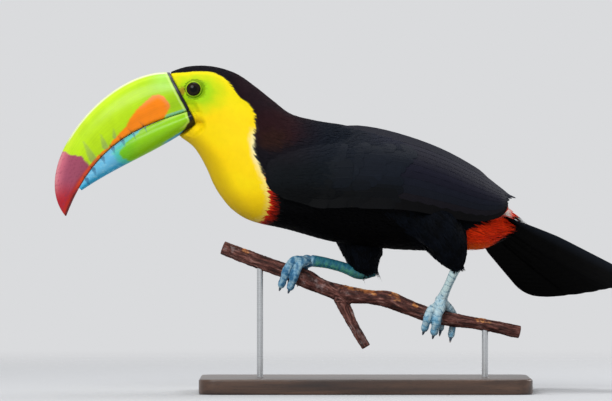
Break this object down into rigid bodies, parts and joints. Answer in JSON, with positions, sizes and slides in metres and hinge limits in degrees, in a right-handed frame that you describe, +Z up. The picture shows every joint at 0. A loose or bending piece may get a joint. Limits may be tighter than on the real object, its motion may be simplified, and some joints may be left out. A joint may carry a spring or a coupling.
{
  "type": "keel-billed toucan model",
  "caption": "Life-size still model of a keel-billed toucan gripping a short cut branch, held above a flat rounded base by two short rods.",
  "frame": {"origin": "centre of the flat underside of the display base", "axes": "+Z up; the bird faces -X with its left side towards -Y; the tail swings away towards +X and +Y"},
  "size_m": [0.4714, 0.1936, 0.2611],
  "materials": {
    "black_plumage": "matt black feathers with a faint blue-green sheen",
    "yellow_plumage": "matt golden-yellow bib feathers, black crown and nape, lime-green skin round the eye",
    "red_plumage": "matt scarlet under-tail coverts with a white tuft above",
    "bill_upper": "satin keratin, lime green with an orange patch and a wine-red tip",
    "bill_lower": "satin keratin, green fading to sky blue",
    "eye": "wet gloss, near black",
    "scaled_skin": "satin blue scutes",
    "claw": "satin dark horn",
    "bark": "rough brown bark",
    "stand_wood": "dark stained, satin varnish",
    "stand_steel": "brushed"
  },
  "bodies": {
    "root": {"bill_lower": "bill_lower", "bill_upper": "bill_upper", "claw_left_1": "claw", "claw_left_2": "claw", "claw_left_3": "claw", "claw_left_4": "claw", "claw_right_1": "claw", "claw_right_2": "claw", "claw_right_3": "claw", "claw_right_4": "claw", "eye_left": "eye", "eye_right": "eye", "foot_left": "scaled_skin", "foot_right": "scaled_skin", "head": "yellow_plumage", "neck": "yellow_plumage", "perch_branch": "bark", "rump": "red_plumage", "shank_left": "scaled_skin", "shank_right": "scaled_skin", "stand_base": "stand_wood", "stand_rod_front": "stand_steel", "stand_rod_rear": "stand_steel", "tail": "black_plumage", "thigh_left": "black_plumage", "thigh_right": "black_plumage", "toe_left_1": "scaled_skin", "toe_left_2": "scaled_skin", "toe_left_3": "scaled_skin", "toe_left_4": "scaled_skin", "toe_right_1": "scaled_skin", "toe_right_2": "scaled_skin", "toe_right_3": "scaled_skin", "toe_right_4": "scaled_skin", "trunk": "black_plumage", "wing_left": "black_plumage", "wing_right": "black_plumage"}
  },
  "joints": []
}
